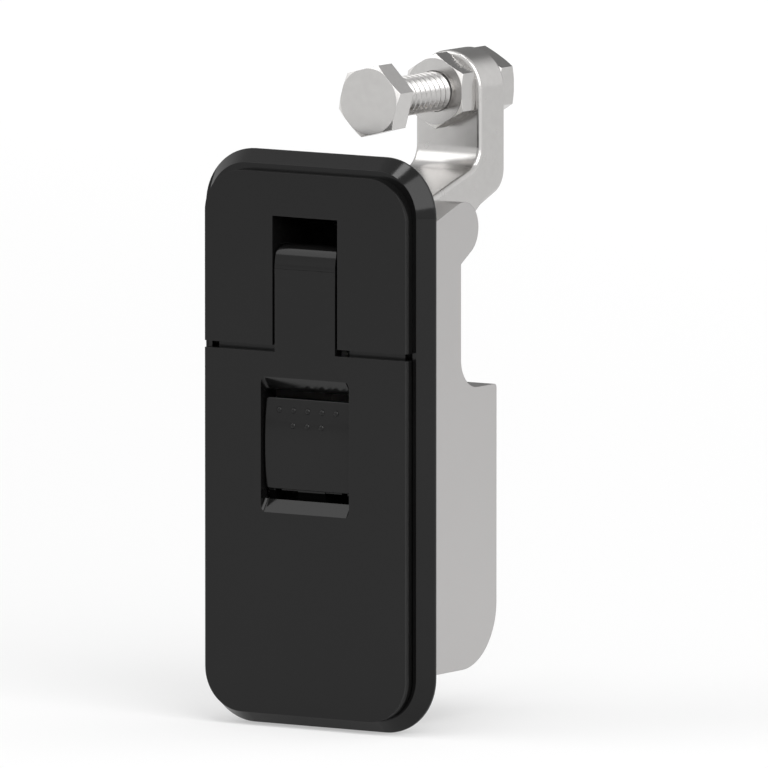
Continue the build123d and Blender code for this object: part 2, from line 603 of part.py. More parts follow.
def trigger():
    half = TRIGGER_HALF_WIDTH
    front_view = box_outline(-half, half, TRIGGER_BOTTOM, TRIGGER_TOP, TRIGGER_CORNER_R)
    body = plate(trigger_pad_profile(), -half, half) & slab(front_view, FACE_Y, 0)
    body = fillet(body.faces().sort_by(Axis.Y)[0].edges(), TRIGGER_EDGE_R)
    body += both_sides(plate(trigger_web_profile(), half - TRIGGER_RIB, half))
    body += rod(TRIGGER_PIVOT, TRIGGER_HUB_R, -half, half)
    body += plate(trigger_web_profile(), -HOOK_WIDTH / 2, HOOK_WIDTH / 2)
    body += plate(trigger_hook_profile(), -HOOK_WIDTH / 2, HOOK_WIDTH / 2)
    ear_front = LEVER_BACK + EAR_GAP
    ear = slab(box_outline(half - TRIGGER_RIB, half + EAR_WIDTH, EAR_BOTTOM, EAR_TOP),
               ear_front, ear_front + EAR_THICKNESS)
    body += both_sides(ear)
    body += trigger_dots()
    lip_front = LEVER_BACK + EAR_GAP
    lip = box_outline(-TRIGGER_LIP_HALF, TRIGGER_LIP_HALF, TRIGGER_BOTTOM - TRIGGER_LIP_DROP,
                      TRIGGER_BOTTOM + 1.0)
    body += slab(lip, lip_front, lip_front + TRIGGER_LIP)
    notch = SPRING_COIL_R + SPRING_WIRE_R + 0.3
    body -= rod(TRIGGER_PIVOT, notch, SPRING_NOTCH_LEFT, SPRING_NOTCH_LEFT + SPRING_NOTCH_WIDTH)
    return body - rod(TRIGGER_PIVOT, TRIGGER_PIN_R + PIN_SLACK, -2 * half, 2 * half)


def trigger_spring():
    """Torsion spring round the trigger pin, with one leg on the lever and one on the pad."""
    height = SPRING_PITCH * SPRING_TURNS
    coil = Helix(pitch=SPRING_PITCH, height=height, radius=SPRING_COIL_R)
    start = coil @ 0
    end = coil @ 1
    leg_low = Line(start - (coil % 0) * SPRING_LEG, start)
    leg_high = Line(end, end + (coil % 1) * SPRING_LEG)
    route = Wire([leg_low, coil, leg_high])
    section = Plane(origin=leg_low @ 0, z_dir=leg_low % 0) * RegularPolygon(SPRING_WIRE_R, SPRING_WIRE_SIDES)
    wire = sweep(section, path=route, is_frenet=False)
    left = SPRING_NOTCH_LEFT + (SPRING_NOTCH_WIDTH - height) / 2
    place = Plane(origin=(left, *TRIGGER_PIVOT), x_dir=(0, 1, 0), z_dir=(1, 0, 0))
    return place * wire


# ---- housing ----
def housing_profile():
    """Side view of the housing without its lug."""
    return outline_of([(0, HOUSING_BOTTOM, 0), (HOUSING_BACK, HOUSING_BOTTOM, HOUSING_HEEL_R),
                       (HOUSING_BACK, SHELF_Z, BACK_EDGE_R), (NECK_BACK, SHELF_Z, NECK_FILLET_R),
                       (NECK_BACK, NECK_TOP, 0), (HOUSING_TOP_LUG[0], HOUSING_TOP_LUG[1], 0),
                       (0, HOUSING_TOP_FRONT, 0)])


def lug_profile():
    foot = (NECK_BACK - 1.0, NECK_TOP)
    return bar_between(CAM_PIVOT, foot, LUG_TOP_R, 1.0)


def cavity_profile():
    """Inside of the housing, one wall in from its side view."""
    wall = HOUSING_WALL
    roof = HOUSING_TOP_FRONT - wall / math.cos(math.radians(TOP_SLOPE))
    rise = math.tan(math.radians(TOP_SLOPE))
    back = NECK_BACK - wall
    return outline_of([(-1, HOUSING_BOTTOM + wall, 0),
                       (HOUSING_BACK - wall, HOUSING_BOTTOM + wall, HOUSING_HEEL_R - wall),
                       (HOUSING_BACK - wall, SHELF_Z - wall, 0), (back, SHELF_Z - wall, NECK_FILLET_R + wall),
                       (back, roof + back * rise, 0), (-1, roof - rise, 0)])


def housing_boss(place):
    return bolt_like(place, [(SCREW_BOSS_R, 0), (SCREW_BOSS_R, SCREW_BOSS_DEPTH)])


def rear_housing():
    half = HOUSING_WIDTH / 2
    body = plate(housing_profile() + lug_profile(), -half, half)
    inner = half - HOUSING_WALL
    body -= plate(cavity_profile() - disc(CAM_PIVOT, LUG_TOP_R + 1.2), -inner, inner)
    for place in SCREW_PLACES:
        body += housing_boss(place)
    body -= tongue_recess(RECESS_CLEARANCE)
    slot = CAM_SLOT_WIDTH / 2
    open_top = outline_of([(CAM_SLOT_FRONT, CAM_SLOT_FLOOR, 0), (HOUSING_BACK, CAM_SLOT_FLOOR, 0),
                           (HOUSING_BACK, 2 * CAM_PIVOT_Z, 0), (CAM_SLOT_FRONT, 2 * CAM_PIVOT_Z, 0)])
    body -= plate(open_top, -slot, slot)
    panel = half - BACK_PANEL_MARGIN
    body -= slab(box_outline(-panel, panel, BACK_PANEL_BOTTOM, BACK_PANEL_TOP, 2.0),
                 HOUSING_BACK - BACK_PANEL_DEPTH, HOUSING_BACK + 1)
    body -= rod(CAM_PIVOT, CAM_PIN_R, -half - 1, half - CAM_PIN_BLIND_WALL)
    body -= rod(CAM_PIVOT, CAM_PIN_HEAD_R, -half - 1, -half + CAM_PIN_HEAD)
    body -= rod((CATCH_Y, CATCH_Z), CATCH_R, -half - 1, inner + HOUSING_WALL / 2)
    body -= rod(LEVER_PIVOT, TONGUE_R + HUB_GAP, -slot, slot)
    for place in SCREW_PLACES:
        body -= bolt_like(place, [(SCREW_R, -1), (SCREW_R, RIM_Y + SCREW_LENGTH + 1)])
    for place in STUD_PLACES:
        clear = STUD_R + HOUSING_STUD_GAP
        body -= bolt_like(place, [(clear, -1), (clear, STUD_LENGTH + HOUSING_STUD_GAP)])
    return body


# ---- cam ----
def cam_profile():
    """Side view: hub, sloping arm and upright."""
    rise_top = math.tan(math.radians(CAM_ARM_TOP_SLOPE))
    rise_low = math.tan(math.radians(CAM_ARM_LOW_SLOPE))
    top = BOLT_Z + CAM_WIDTH / 2
    hub_y = CAM_PIVOT_Y + CAM_HUB_R
    root = hub_y - CAM_ARM_ROOT
    arm = outline_of([(root, CAM_ARM_TOP_Z - (CAM_FRONT - root) * rise_top, 0),
                      (CAM_FRONT, CAM_ARM_TOP_Z, CAM_INNER_BEND_R), (CAM_FRONT, top, 0),
                      (CAM_BACK, top, 0), (CAM_BACK, CAM_ARM_LOW_Z, CAM_OUTER_BEND_R),
                      (CAM_FRONT - 2, CAM_ARM_LOW_Z - (CAM_THICKNESS + 2) * rise_low, 0),
                      (CAM_LINK_PIN[0] + 1, CAM_LINK_PIN[1] - CRANK_EYE_R, CAM_HEEL_R)])
    hub = bar_between(CAM_PIVOT, CAM_LINK_PIN, CAM_HUB_R, CRANK_EYE_R)
    swelling = (CAM_LINK_PIN[0] + CAM_SHOULDER[0], CAM_LINK_PIN[1] + CAM_SHOULDER[1])
    shoulder = bar_between(CAM_PIVOT, swelling, CAM_HUB_R, CAM_SHOULDER_R)
    return arm + hub + shoulder


def cam():
    half = CAM_WIDTH / 2
    body = plate(cam_profile(), -half, half)
    front_view = SlotCenterToCenter(2 * BOLT_Z, CAM_WIDTH, rotation=90)
    body &= slab(front_view, 0, 2 * CAM_BACK)
    long_edges = body.edges().filter_by(lambda e: abs(abs(e.center().X) - half) < 0.01)
    outer = [e for e in long_edges if e.center().Y > CAM_FRONT - 0.5 and e.center().Z > CAM_ARM_TOP_Z]
    body = fillet(outer, CAM_EDGE_R)
    body -= link_room(CAM_LINK_PIN, link_angle() + 180)
    body -= rod(CAM_PIVOT, CAM_PIN_R + PIN_SLACK, -half, half)
    body -= rod(CAM_LINK_PIN, LINK_PIN_R, -half, half)
    return body - bolt_like((0, BOLT_Z), [(BOLT_R + BOLT_HOLE_GAP, CAM_FRONT - 1),
                                          (BOLT_R + BOLT_HOLE_GAP, CAM_BACK + 1)])


def cam_washers():
    half = CAM_WIDTH / 2
    ring = disc(CAM_PIVOT, WASHER_R) - disc(CAM_PIVOT, CAM_PIN_R + PIN_SLACK)
    return [plate(ring, half, half + WASHER_THICKNESS), plate(ring, -half - WASHER_THICKNESS, -half)]


# ---- link and pins ----
def connecting_link():
    half = LINK_WIDTH / 2
    bar = bar_between(LEVER_LINK_PIN, CAM_LINK_PIN, LINK_WAIST / 2, LINK_WAIST / 2)
    shape = bar + disc(LEVER_LINK_PIN, LINK_EYE_R) + disc(CAM_LINK_PIN, LINK_EYE_R)
    body = plate(shape, -half, half)
    for place in (LEVER_LINK_PIN, CAM_LINK_PIN):
        body -= rod(place, LINK_PIN_R + PIN_SLACK, -half, half)
    return body


def lever_pin():
    end = BOSS_OUT + CLIP_THICKNESS + PIN_TAIL
    body = rod(LEVER_PIVOT, LEVER_PIN_R, -end, end)
    groove = disc(LEVER_PIVOT, 2 * LEVER_PIN_R) - disc(LEVER_PIVOT, LEVER_PIN_R - CLIP_GROOVE_DEPTH)
    return body - both_sides(plate(groove, BOSS_OUT, BOSS_OUT + CLIP_THICKNESS))


def lever_pin_clips():
    """Open ring on each end of the lever pin."""
    ring = disc(LEVER_PIVOT, CLIP_R) - disc(LEVER_PIVOT, LEVER_PIN_R - CLIP_GROOVE_DEPTH)
    mouth = box_outline(LEVER_PIVOT_Y, LEVER_PIVOT_Y + 2 * CLIP_R, LEVER_PIVOT_Z - 1.5, LEVER_PIVOT_Z + 1.5)
    shape = ring - mouth
    return [plate(shape, BOSS_OUT, BOSS_OUT + CLIP_THICKNESS),
            plate(shape, -BOSS_OUT - CLIP_THICKNESS, -BOSS_OUT)]


def cam_pin():
    left = -HOUSING_WIDTH / 2
    body = rod(CAM_PIVOT, CAM_PIN_R, left, HOUSING_WIDTH / 2 - CAM_PIN_BLIND_WALL)
    return body + rod(CAM_PIVOT, CAM_PIN_HEAD_R, left, left + CAM_PIN_HEAD)


def catch_pin():
    return rod((CATCH_Y, CATCH_Z), CATCH_R, -HOUSING_WIDTH / 2, HOUSING_WIDTH / 2 - HOUSING_WALL / 2)


def crank_pin():
    return rod(LEVER_LINK_PIN, LINK_PIN_R, -TONGUE_WIDTH / 2, TONGUE_WIDTH / 2)


def link_pin():
    return rod(CAM_LINK_PIN, LINK_PIN_R, -CAM_WIDTH / 2, CAM_WIDTH / 2)


def trigger_pin():
    return rod(TRIGGER_PIVOT, TRIGGER_PIN_R, -LUG_OUT, LUG_OUT)


# ---- grip bolt and nuts ----
def hexagon(turn):
    return RegularPolygon(HEX_R, 6, rotation=turn)


def hex_block(turn, front, back, chamfer_back):
    """Hexagon between two depths, turned down to a cone at the corners."""
    flat = HEX_R - HEX_CHAMFER
    steps = [(flat, front), (HEX_R, front + HEX_CHAMFER_DEPTH)]
    if chamfer_back:
        steps += [(HEX_R, back - HEX_CHAMFER_DEPTH), (flat, back)]
    else:
        steps += [(HEX_R, back)]
    turned = bolt_like((0, BOLT_Z), steps)
    return slab(Pos(0, BOLT_Z) * hexagon(turn), front, back) & turned


def grip_bolt():
    tip = BOLT_SEAT + BOLT_LENGTH
    shank = bolt_like((0, BOLT_Z), [(BOLT_R, BOLT_SEAT - 1), (BOLT_R, tip - BOLT_TIP_CHAMFER),
                                    (BOLT_R - BOLT_TIP_CHAMFER, tip)])
    return hex_block(BOLT_HEAD_TURN, BOLT_HEAD_FRONT, BOLT_SEAT, False) + shank


def jam_nut(front):
    back = front + NUT_THICKNESS
    bore = bolt_like((0, BOLT_Z), [(BOLT_R + PIN_SLACK, front - 1), (BOLT_R + PIN_SLACK, back + 1)])
    return hex_block(NUT_TURN, front, back, True) - bore


# ---- fasteners and gasket ----
def countersunk_screw(place, shank_r, head_r, face, tip, step):
    cone = head_r - shank_r
    body = bolt_like(place, [(head_r, face), (shank_r, face + step * cone), (shank_r, tip)])
    socket = slab(Pos(place[0], place[1]) * RegularPolygon(DRIVE_R, 6),
                  min(face, face + step * DRIVE_DEPTH), max(face, face + step * DRIVE_DEPTH))
    return body - socket


def housing_screws():
    return [countersunk_screw(place, SCREW_R, SCREW_HEAD_R, RIM_Y, RIM_Y + SCREW_LENGTH, 1)
            for place in SCREW_PLACES]


def cover_screws():
    return [countersunk_screw(place, COVER_SCREW_R, COVER_SCREW_HEAD_R, 0, RIM_Y - COVER_SCREW_BITE, -1)
            for place in COVER_SCREW_PLACES]


def mounting_studs():
    steps = [(STUD_COLLAR_R, -STUD_COLLAR), (STUD_COLLAR_R, 0), (STUD_R, 0),
             (STUD_R, STUD_LENGTH - STUD_TIP_CHAMFER), (STUD_R - STUD_TIP_CHAMFER, STUD_LENGTH)]
    return [bolt_like(place, steps) for place in STUD_PLACES]


def save(name, solids):
    """One STEP file per node; a node of several pieces holds them as separate solids."""
    shape = Compound(children=list(solids)) if isinstance(solids, list) else solids
    export_step(shape, "parts/" + name + ".step")


def main():
    os.makedirs("parts", exist_ok=True)
    save("bezel_frame", bezel_frame())
    save("upper_cover", upper_cover())
    save("panel_gasket", gasket_ring())
    save("rear_housing", rear_housing())
    save("housing_screws", housing_screws())
    save("cover_screws", cover_screws())
    save("mounting_studs", mounting_studs())
    save("lever_pin", lever_pin())
    save("lever_pin_clips", lever_pin_clips())
    save("cam_pin", cam_pin())
    save("catch_pin", catch_pin())
    save("lever", lever())
    save("crank_pin", crank_pin())
    save("trigger_pin", trigger_pin())
    save("trigger_spring", trigger_spring())
    save("trigger", trigger())
    save("connecting_link", connecting_link())
    save("cam", cam())
    save("cam_washers", cam_washers())
    save("link_pin", link_pin())
    save("front_jam_nut", jam_nut(CAM_FRONT - NUT_THICKNESS))
    save("rear_jam_nut", jam_nut(CAM_BACK))
    save("grip_bolt", grip_bolt())


main()
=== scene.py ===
"""Flush compression latch: black front, grey cast housing, bright cam with an adjustable grip bolt.

Metres throughout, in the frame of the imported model: X right, Y into the panel, Z up.
"""
import bpy
import bmesh
import json
import math
from mathutils import Matrix, Vector


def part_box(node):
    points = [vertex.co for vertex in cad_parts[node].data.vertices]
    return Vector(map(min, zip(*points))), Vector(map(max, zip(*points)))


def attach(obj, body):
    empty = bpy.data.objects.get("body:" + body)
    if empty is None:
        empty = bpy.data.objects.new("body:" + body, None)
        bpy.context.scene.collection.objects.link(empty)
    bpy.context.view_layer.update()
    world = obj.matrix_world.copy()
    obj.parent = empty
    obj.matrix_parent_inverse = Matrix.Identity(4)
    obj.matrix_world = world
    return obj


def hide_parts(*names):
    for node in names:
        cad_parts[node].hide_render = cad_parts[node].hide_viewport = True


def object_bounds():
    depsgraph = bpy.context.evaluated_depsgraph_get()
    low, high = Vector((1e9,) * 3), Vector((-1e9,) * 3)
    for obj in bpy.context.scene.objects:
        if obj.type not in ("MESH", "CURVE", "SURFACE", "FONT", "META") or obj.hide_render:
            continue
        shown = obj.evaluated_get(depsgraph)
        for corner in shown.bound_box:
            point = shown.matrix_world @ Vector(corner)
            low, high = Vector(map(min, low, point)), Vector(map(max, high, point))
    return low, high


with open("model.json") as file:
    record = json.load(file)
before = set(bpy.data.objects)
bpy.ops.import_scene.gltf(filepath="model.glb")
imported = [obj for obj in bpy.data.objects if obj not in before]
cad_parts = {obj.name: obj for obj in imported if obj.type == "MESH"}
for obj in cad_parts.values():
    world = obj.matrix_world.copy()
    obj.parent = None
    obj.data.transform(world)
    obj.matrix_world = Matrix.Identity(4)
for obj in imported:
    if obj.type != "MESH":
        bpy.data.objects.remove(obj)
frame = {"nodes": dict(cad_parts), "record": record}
cad_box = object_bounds()
MM = 0.001

# ---- camera ----
VIEW_AZIMUTH = 33.21        # degrees, from in front round to the right
VIEW_ELEVATION = 6.6
VIEW_WIDTH = 151.42 * MM    # what the frame takes in at the object
VIEW_RIGHT = 12.28 * MM     # the frame's centre, from the flange's centre
VIEW_UP = 11.04 * MM
VIEW_DISTANCE = 5.0
SENSOR = 36.0

# ---- studio ----
FLOOR_SIZE = 12.0
FLOOR_WHITE = 0.48
SEEN_GLOW = (0.4, 0.6)      # what the floor adds where the camera sees it, close by and far behind
SEEN_REACH = (0.1, 1.1)
MIRRORED_GLOW = (1.1, 0.38)  # and where it is mirrored, at a bright spot under the cam and around it
MIRRORED_SPOT = (-0.06, 0.07)
MIRRORED_REACH = (0.04, 0.09)
SKY_LOW = 0.98               # brightness of the surroundings in front, at the horizon and overhead
SKY_HIGH = 0.74
BACK_LEFT = 0.24            # and of the surroundings behind, on the left and on the right
BACK_RIGHT = 1.0
PANELS = (                  # name, direction, distance, width and height in metres, brightness
    ("right_panel", (0.68, -0.42, 0.60), 1.5, (1.1, 1.4), 3.1),
    ("left_panel", (-0.54, -0.42, 0.73), 1.5, (1.0, 1.0), 1.6),
    ("top_lamp", (0.0, -0.209, 0.978), 1.5, (0.3, 0.3), 7.0))

# ---- grip bolt and its nuts ----
BOLT_THREAD_R = 4.0 * MM
THREAD_PITCH = 1.76 * MM
THREAD_DEPTH = 0.62 * MM
TIP_CHAMFER = 0.8 * MM
HEX_CHAMFER = 0.9 * MM      # how far the cone cuts in from the corners
HEX_CHAMFER_DEPTH = 0.5 * MM
HEX_MADE_AT = 30.0          # degrees
HEAD_HEIGHT = 5.3 * MM
HEAD_TURN = 14.4            # degrees
NUT_TURN = 30.0
NUT_BORE_R = 4.02 * MM
NUT_MOUTH = 0.12 * MM       # chamfer round the nut's hole

# ---- threads and coils ----
STEPS_PER_TURN = 40
RIDGE_FOOT = 0.1            # where a thread's ridge starts and where it is full, as shares of the pitch
RIDGE_CREST = 0.42
RIDGE_SUNK = 0.15           # how far its foot lies in the core, as a share of its height

# ---- mounting studs ----
STUD_R = 2.0 * MM
STUD_PITCH = 0.7 * MM
STUD_THREAD_DEPTH = 0.38 * MM
STUD_CHAMFER = 0.5 * MM
STUD_COLLAR_R = 2.6 * MM
STUD_COLLAR = 1.3 * MM
STUD_EASE = 0.15 * MM

# ---- flange ----
PAINTED_SHADE_EDGE = 0.1 * MM        # width over which the painted shade takes the coat's reflection away
BEZEL_PAINTED_SHADE_X = -24.35 * MM    # painted shade: left of this the bezel's chamfer and side lose their reflection and get a plain dark grey
BEZEL_PAINTED_SHADE_TONE = 0.022

# ---- tongue of the lever, above its plate ----
TONGUE_HALF = 7.08 * MM
TONGUE_PROUD = 0.02 * MM    # how far the nose stands over the sides of the solid that it covers
NOSE_FOOT = 0.2 * MM        # all heights from the lever's pin
NOSE_START = 3.0 * MM
NOSE_SHOULDER = 5.8 * MM
NOSE_TOP = 7.8 * MM
NOSE_HEEL = 7.1 * MM        # where its top meets the hub
NOSE_BEND = 0.67 * MM       # depths behind the lever's face
NOSE_FLAT = 3.47 * MM
NOSE_CORNER_R = 2.0 * MM
NOSE_STEPS = 24

# ---- trigger pad and its raised dots ----
PAD_RECESS = 0.72 * MM      # crown of the pad behind the lever's face
PAD_CROWN = 0.55 * MM
PAD_TOP = 8.45 * MM
PAD_BOTTOM = -9.65 * MM
STEM_PAINTED_SHADE_TOP = -10.1 * MM       # painted shade: under this height the trigger loses its reflection and is painted near black
STEM_PAINTED_SHADE_TONE = 0.002
DOT_R = 0.62 * MM
DOT_HEIGHT = 0.39 * MM
DOT_SUNK = 0.1 * MM         # how far its cut face lies under the pad
DOT_PITCH = 3.345 * MM
DOT_ROWS = ((6.1 * MM, 5), (3.1 * MM, 3))   # height and number of dots

# ---- trigger spring ----
SPRING_WIRE_R = 0.35 * MM
SPRING_COIL_R = 1.95 * MM
SPRING_TURNS = 3.5
SPRING_PITCH = 0.85 * MM


def size_of(node):
    """Centre and half size of a node's box."""
    low, high = (Vector(corner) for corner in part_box(node))
    return (low + high) / 2, (high - low) / 2


# ---- hand moves ----
def nothing_selected():
    if bpy.context.object and bpy.context.object.mode != "OBJECT":
        bpy.ops.object.mode_set(mode="OBJECT")
    bpy.ops.object.select_all(action="DESELECT")


def only(piece):
    """Selects this piece alone."""
    nothing_selected()
    piece.select_set(True)
    bpy.context.view_layer.objects.active = piece
    return piece


def editing(piece):
    """Opens the piece's mesh with nothing selected."""
    only(piece)
    bpy.ops.object.mode_set(mode="EDIT")
    bpy.ops.mesh.select_all(action="DESELECT")


def pick_edges(piece, wanted):
    """Selects the edges for which wanted(one end, other end) is true."""
    bpy.ops.mesh.select_mode(type="EDGE")
    bpy.ops.mesh.select_all(action="DESELECT")
    shape = bmesh.from_edit_mesh(piece.data)
    for edge in shape.edges:
        if wanted(edge.verts[0].co, edge.verts[1].co):
            edge.select = True
    bmesh.update_edit_mesh(piece.data)


def pick_verts(piece, wanted):
    """Selects the points for which wanted(place) is true."""
    bpy.ops.mesh.select_mode(type="VERT")
    bpy.ops.mesh.select_all(action="DESELECT")
    shape = bmesh.from_edit_mesh(piece.data)
    for vert in shape.verts:
        if wanted(vert.co):
            vert.select = True
    shape.select_flush(True)
    bmesh.update_edit_mesh(piece.data)


def named(piece, name):
    piece.name = name
    piece.data.name = name
    return piece


def settled(piece):
    """Puts the piece's place and turn into its mesh."""
    only(piece)
    bpy.ops.object.transform_apply(location=True, rotation=True, scale=True)
    return piece


def outward(piece, merge=1e-6):
    """Merges doubled points and turns every face outwards."""
    editing(piece)
    bpy.ops.mesh.select_all(action="SELECT")
    bpy.ops.mesh.remove_doubles(threshold=merge)
    bpy.ops.mesh.normals_make_consistent(inside=False)
    bpy.ops.object.mode_set(mode="OBJECT")
    return piece


def smooth(piece, angle=35.0):
    only(piece)
    bpy.ops.object.shade_smooth_by_angle(angle=math.radians(angle))
    return piece


def apply_modifier(piece, kind, **settings):
    only(piece)
    modifier = piece.modifiers.new(kind.title(), kind)
    for key, value in settings.items():
        setattr(modifier, key, value)
    bpy.ops.object.modifier_apply(modifier=modifier.name)
    return piece


def cut_by(piece, tool, how, **settings):
    """Boolean with a tool piece, which is then thrown away."""
    apply_modifier(piece, "BOOLEAN", operation=how, object=tool, solver="EXACT", **settings)
    bpy.data.objects.remove(tool, do_unlink=True)
    return piece


def copy_of(piece, name):
    """A copy with its own mesh."""
    twin = piece.copy()
    twin.data = piece.data.copy()
    bpy.context.collection.objects.link(twin)
    return named(twin, name)


def joined(pieces, name):
    nothing_selected()
    for piece in pieces:
        piece.select_set(True)
    bpy.context.view_layer.objects.active = pieces[0]
    bpy.ops.object.join()
    return named(bpy.context.object, name)


# ---- shapes that several pieces are made from ----
def traced(name, points):
    """A chain of edges through these points, drawn by extruding one point along."""
    nothing_selected()
    bpy.ops.mesh.primitive_plane_add(size=MM, location=(0, 0, 0))
    chain = named(bpy.context.object, name)
    editing(chain)
    shape = bmesh.from_edit_mesh(chain.data)
    shape.verts.ensure_lookup_table()
    for vert in shape.verts[1:]:
        vert.select = True
    bmesh.update_edit_mesh(chain.data)
    bpy.ops.mesh.delete(type="VERT")
    bpy.ops.mesh.select_mode(type="VERT")
    bpy.ops.mesh.select_all(action="SELECT")
    start = bmesh.from_edit_mesh(chain.data).verts
    start.ensure_lookup_table()
    bpy.ops.transform.translate(value=Vector(points[0]) - start[0].co)
    for here, there in zip(points, points[1:]):
        bpy.ops.mesh.extrude_region_move(
            TRANSFORM_OT_translate={"value": Vector(there) - Vector(here)})
    bpy.ops.object.mode_set(mode="OBJECT")
    return chain


def turned(name, steps, axis_point, sides=64):
    """A solid of revolution about a line along Y: steps are (radius, depth along Y)."""
    x, z = axis_point
    points = [(x + radius, depth, z) for radius, depth in steps]
    piece = traced(name, points)
    editing(piece)
    bpy.ops.mesh.select_all(action="SELECT")
    bpy.ops.mesh.spin(steps=sides, angle=math.tau, center=(x, 0, z), axis=(0, 1, 0))
    bpy.ops.object.mode_set(mode="OBJECT")
    return outward(piece)


def wound(piece, centre, axis, angle, rise, rounds):
    """Winds an outline round an axis through a centre, so many rounds of an angle and a rise."""
    bpy.context.scene.cursor.location = centre
    bpy.ops.object.origin_set(type="ORIGIN_CURSOR")
    steps = round(STEPS_PER_TURN * angle / math.tau)
    apply_modifier(piece, "SCREW", axis=axis, angle=angle, screw_offset=rise, iterations=rounds,
                   steps=steps, render_steps=steps)
    return settled(piece)


def threaded_rod(name, radius, depth, pitch, axis_point, ends, chamfer):
    """A rod between two depths along Y, with a chamfered far end: a core and a ridge wound round it."""
    x, z = axis_point
    near, far = ends
    start = near - 2 * pitch
    turns = math.ceil((far - start) / pitch) + 2
    root = radius - depth
    foot = root - RIDGE_SUNK * depth
    ridge = traced(name + "_ridge", [(x + out, start + share * pitch, z) for out, share in (
        (foot, RIDGE_FOOT), (radius, RIDGE_CREST), (radius, 1 - RIDGE_CREST), (foot, 1 - RIDGE_FOOT))])
    editing(ridge)
    pick_verts(ridge, lambda place: place.x < x + root)
    bpy.ops.mesh.edge_face_add()
    only(ridge)
    wound(ridge, (x, start, z), "Y", math.tau, pitch, turns)
    editing(ridge)
    bpy.ops.mesh.select_all(action="SELECT")
    bpy.ops.mesh.fill_holes(sides=0)
    bpy.ops.object.mode_set(mode="OBJECT")
    outward(ridge)
    wide = radius + MM
    room = turned(name + "_room", [(0, near), (wide, near), (wide, far - chamfer - MM),
                                   (radius - chamfer, far), (0, far)], axis_point, 48)
    cut_by(ridge, room, "INTERSECT")
    core = turned(name + "_core", [(0, near), (root, near), (root, far - chamfer + depth),
                                   (radius - chamfer, far), (0, far)], axis_point)
    return joined([core, ridge], name)


def hex_prism(name, across_corners, ends, axis_point, turn, both_ends, metals):
    """Hexagon whose corners are turned down to a cone at the front, or at both ends.

    The turn is from +X to the first corner, which a cylinder of six sides has at HEX_MADE_AT.
    The metals are that of the flats and that of the turned cones.
    """
    x, z = axis_point
    front, back = ends
    nothing_selected()
    bpy.ops.mesh.primitive_cylinder_add(vertices=6, radius=across_corners / 2, depth=back - front,
                                        location=(x, (front + back) / 2, z),
                                        rotation=(math.radians(90), 0, 0))
    prism = settled(named(bpy.context.object, name))
    editing(prism)
    bpy.ops.mesh.select_all(action="SELECT")
    bpy.ops.transform.rotate(value=math.radians(turn - HEX_MADE_AT), orient_axis="Y",
                             center_override=(x, (front + back) / 2, z))
    bpy.ops.object.mode_set(mode="OBJECT")
    corner = across_corners / 2
    flat = corner - HEX_CHAMFER
    slope = HEX_CHAMFER_DEPTH / HEX_CHAMFER
    wide, narrow = corner + MM, flat - MM
    steps = [(0, front - MM * slope), (narrow, front - MM * slope), (wide, front + (wide - flat) * slope)]
    if both_ends:
        steps += [(wide, back - (wide - flat) * slope), (narrow, back + MM * slope), (0, back + MM * slope)]
    else:
        steps += [(wide, back + MM), (0, back + MM)]
    cone = turned(name + "_cone", steps, axis_point, 96)
    coat(prism, metals[0])
    coat(cone, metals[1])
    return cut_by(prism, cone, "INTERSECT", material_mode="TRANSFER")


# ---- finishes ----
def new_material(name):
    material = bpy.data.materials.new(name)
    material.use_nodes = True
    tree = material.node_tree
    shader = tree.nodes["Principled BSDF"]
    return material, tree, shader


def pattern(tree, kind, scale, **inputs):
    """A texture node on Object coordinates."""
    where = tree.nodes.new("ShaderNodeTexCoord")
    place = tree.nodes.new("ShaderNodeMapping")
    place.inputs["Scale"].default_value = scale
    tree.links.new(where.outputs["Object"], place.inputs["Vector"])
    texture = tree.nodes.new(kind)
    tree.links.new(place.outputs["Vector"], texture.inputs["Vector"])
    for key, value in inputs.items():
        texture.inputs[key].default_value = value
    return texture


def blend_of(tree, factor, low, high):
    """A colour that runs from low to high with a factor."""
    ramp = tree.nodes.new("ShaderNodeValToRGB")
    ramp.color_ramp.elements[0].color = (*low, 1)
    ramp.color_ramp.elements[1].color = (*high, 1)
    tree.links.new(factor, ramp.inputs["Fac"])
    return ramp


def spread(tree, factor, low, high, between=(0.0, 1.0)):
    """A number that runs from low to high while a factor runs between two values."""
    span = tree.nodes.new("ShaderNodeMapRange")
    span.inputs["From Min"].default_value, span.inputs["From Max"].default_value = between
    span.inputs["To Min"].default_value = low
    span.inputs["To Max"].default_value = high
    tree.links.new(factor, span.inputs["Value"])
    return span.outputs["Result"]


def worked_out(tree, operation, *values):
    """A number from other numbers of the tree."""
    node = tree.nodes.new("ShaderNodeMath")
    node.operation = operation
    for value, place in zip(values, node.inputs):
        tree.links.new(value, place)
    return node.outputs[0]


def axes_of(tree):
    """The three Object coordinates, apart."""
    where = tree.nodes.new("ShaderNodeTexCoord")
    axes = tree.nodes.new("ShaderNodeSeparateXYZ")
    tree.links.new(where.outputs["Object"], axes.inputs[0])
    return axes.outputs


def raised(tree, shader, height, strength, distance, softened=0.0):
    """Bump from a height, over edges rounded by a small radius."""
    bump = tree.nodes.new("ShaderNodeBump")
    bump.inputs["Strength"].default_value = strength
    bump.inputs["Distance"].default_value = distance
    tree.links.new(height, bump.inputs["Height"])
    if softened:
        edge = tree.nodes.new("ShaderNodeBevel")
        edge.samples = 6
        edge.inputs["Radius"].default_value = softened
        tree.links.new(edge.outputs["Normal"], bump.inputs["Normal"])
    tree.links.new(bump.outputs["Normal"], shader.inputs["Normal"])


